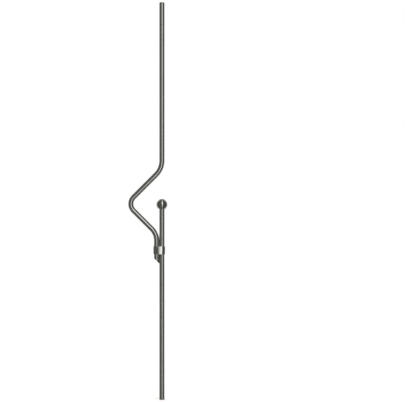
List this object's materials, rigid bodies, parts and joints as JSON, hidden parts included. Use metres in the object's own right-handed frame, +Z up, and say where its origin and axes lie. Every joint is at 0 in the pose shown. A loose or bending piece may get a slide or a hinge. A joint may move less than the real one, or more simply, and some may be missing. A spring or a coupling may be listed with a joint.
{
  "type": "stair baluster",
  "caption": "Stair baluster of round steel bar: a tall bar with a sideways knee bend, held by a flat-oval collar to a shorter straight bar topped with a ball.",
  "frame": {"origin": "middle of the straight bar's foot, on its flat end face", "axes": "+Z up along the bars, -X the way the knee points, +Y away from someone who sees the knee on the left"},
  "size_m": [0.0888, 0.025, 0.9],
  "materials": {
    "bar_steel": "ground lengthwise and lightly polished",
    "ball_steel": "turned and mirror polished",
    "collar_steel": "finely brushed round the sleeve"
  },
  "bodies": {
    "root": {"bent_bar": "bar_steel", "lower_bar": "bar_steel", "ball_finial": "ball_steel", "collar": "collar_steel"}
  },
  "joints": []
}
